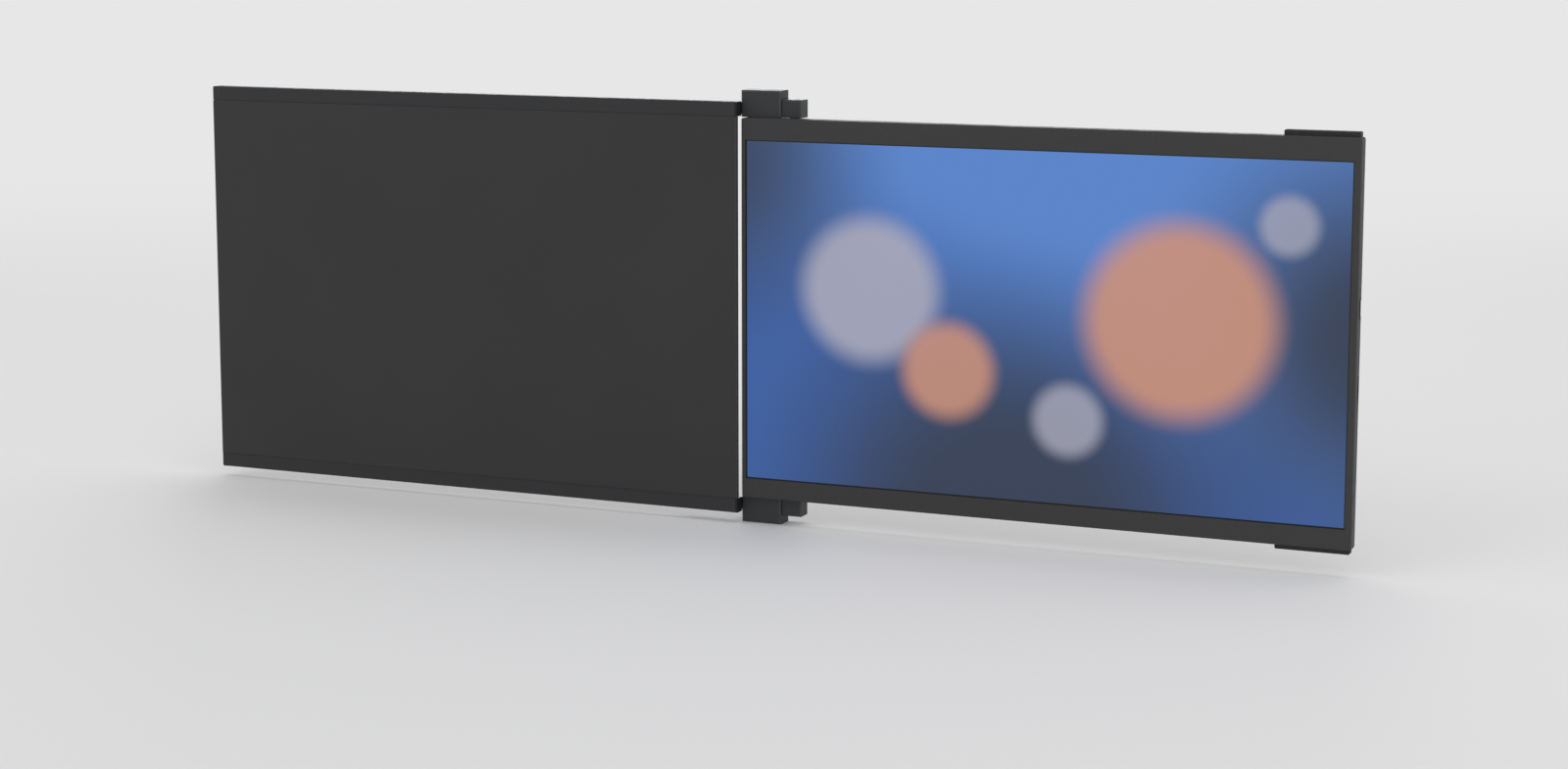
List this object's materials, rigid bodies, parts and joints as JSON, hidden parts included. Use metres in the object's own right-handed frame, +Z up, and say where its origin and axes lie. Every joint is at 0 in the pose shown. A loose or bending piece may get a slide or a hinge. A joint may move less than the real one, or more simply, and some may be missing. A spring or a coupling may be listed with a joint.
{
  "type": "laptop screen extender",
  "caption": "Flat sleeve for the back of a laptop lid, with a portable monitor that slides out of it on two rails and swings on vertical friction hinges.",
  "frame": {"origin": "centre of the sleeve's front face, which lies against the laptop's lid", "axes": "+X along the slide, the way the monitor comes out; +Y to the back, away from the lid; +Z up"},
  "size_m": [0.6026, 0.017, 0.2132],
  "materials": {
    "adhesive": "double-sided tape",
    "anodised_grey": "fine bead-blasted, dark grey anodised",
    "bearing_brass": "turned",
    "black_steel": "black zinc-nickel plated sheet",
    "bumper_rubber": "soft-touch, dark",
    "cast_grey": "die-cast, satin dark grey paint",
    "chip_plastic": "moulded package",
    "circuit_board": "green solder mask",
    "dark_plastic": "moulded, near black",
    "display_glass": "lit screen behind an anti-glare film",
    "foam": "open-cell foam",
    "grey_plastic": "fine moulded texture, dark grey",
    "key_plastic": "moulded, satin",
    "magnet_nickel": "nickel plated",
    "panel_metal": "thin sheet back",
    "pin_steel": "ground",
    "ribbon_film": "polyimide film",
    "screw_steel": "black oxide",
    "slip_plastic": "black acetal",
    "slip_tape": "low-friction film",
    "socket_steel": "stamped"
  },
  "bodies": {
    "sleeve": {"front_plate": "anodised_grey", "upper_rail": "anodised_grey", "lower_rail": "anodised_grey", "end_wall": "anodised_grey", "end_screws": "screw_steel", "rail_caps": "dark_plastic", "bond_strips": "adhesive", "glide_tapes": "slip_tape", "mounting_magnets": "magnet_nickel", "magnet_covers": "dark_plastic"},
    "carriage": {"slide_yoke": "black_steel", "shoe_screws": "screw_steel", "block_screws": "screw_steel", "housing_screws": "screw_steel", "upper_glide_shoes": "slip_plastic", "lower_glide_shoes": "slip_plastic", "upper_hinge_block": "cast_grey", "lower_hinge_block": "cast_grey", "upper_friction_housing": "cast_grey", "lower_friction_housing": "cast_grey", "upper_bearing_plate": "bearing_brass", "lower_bearing_plate": "bearing_brass"},
    "monitor": {"front_bezel": "grey_plastic", "rear_cover": "grey_plastic", "cover_screws": "screw_steel", "panel_tape": "adhesive", "display_panel": "display_glass", "backlight_unit": "panel_metal", "foam_blocks": "foam", "controller_board": "circuit_board", "board_screws": "screw_steel", "board_chips": "chip_plastic", "panel_ribbon": "ribbon_film", "usb_c_port": "socket_steel", "usb_c_tongue": "dark_plastic", "tact_switches": "chip_plastic", "leaf_screws": "screw_steel", "upper_pivot_pin": "pin_steel", "lower_pivot_pin": "pin_steel", "upper_thrust_washer": "slip_plastic", "lower_thrust_washer": "slip_plastic", "upper_disc_springs": "pin_steel", "lower_disc_springs": "pin_steel", "upper_pivot_nut": "pin_steel", "lower_pivot_nut": "pin_steel", "upper_hinge_leaf": "black_steel", "lower_hinge_leaf": "black_steel", "upper_stop_bumper": "bumper_rubber", "lower_stop_bumper": "bumper_rubber"},
    "brightness_up": {"brightness_up_key": "key_plastic"},
    "brightness_down": {"brightness_down_key": "key_plastic"},
    "power": {"power_key": "key_plastic"}
  },
  "joints": [
    {"name": "monitor_slide", "type": "slide", "parent": "sleeve", "child": "carriage", "axis": [1, 0, 0], "range_m": [-0.266, 0]},
    {"name": "monitor_swing", "type": "hinge", "parent": "carriage", "child": "monitor", "pos_m": [0.17585, 0.01255, 0], "axis": [0, 0, -1], "range_deg": [-180, 90]},
    {"name": "brightness_up_press", "type": "slide", "parent": "monitor", "child": "brightness_up", "axis": [-1, 0, 0], "range_m": [0, 0.0002], "stiffness_N_per_m": 3000, "springref_m": -0.0002},
    {"name": "brightness_down_press", "type": "slide", "parent": "monitor", "child": "brightness_down", "axis": [-1, 0, 0], "range_m": [0, 0.0002], "stiffness_N_per_m": 3000, "springref_m": -0.0002},
    {"name": "power_press", "type": "slide", "parent": "monitor", "child": "power", "axis": [0, -1, 0], "range_m": [0, 0.00015], "stiffness_N_per_m": 3000, "springref_m": -0.0002}
  ]
}
